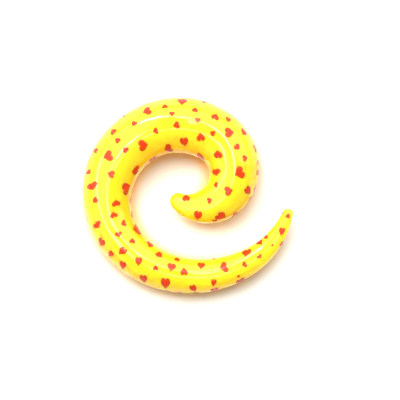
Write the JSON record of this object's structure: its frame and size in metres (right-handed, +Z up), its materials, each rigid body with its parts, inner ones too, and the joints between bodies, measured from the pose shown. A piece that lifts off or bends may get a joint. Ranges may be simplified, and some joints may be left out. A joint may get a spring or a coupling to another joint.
{
  "type": "spiral ear taper",
  "caption": "Thick acrylic rod wound in a flat open spiral, swelling from a blunt inner end and thinning to a fine outer end, yellow with red hearts.",
  "frame": {"origin": "on the table that the taper lies on, in the middle of the rectangle that it covers", "axes": "+Z up from the table; +X from the spiral's big turn on the left towards its fine outer end; +Y from the outer arm towards the full-gauge section over the eye"},
  "size_m": [0.038, 0.0352, 0.01],
  "materials": {
    "yellow_acrylic": "gloss",
    "heart_print": "gloss"
  },
  "bodies": {
    "root": {"spiral_taper": "yellow_acrylic"}
  },
  "joints": []
}
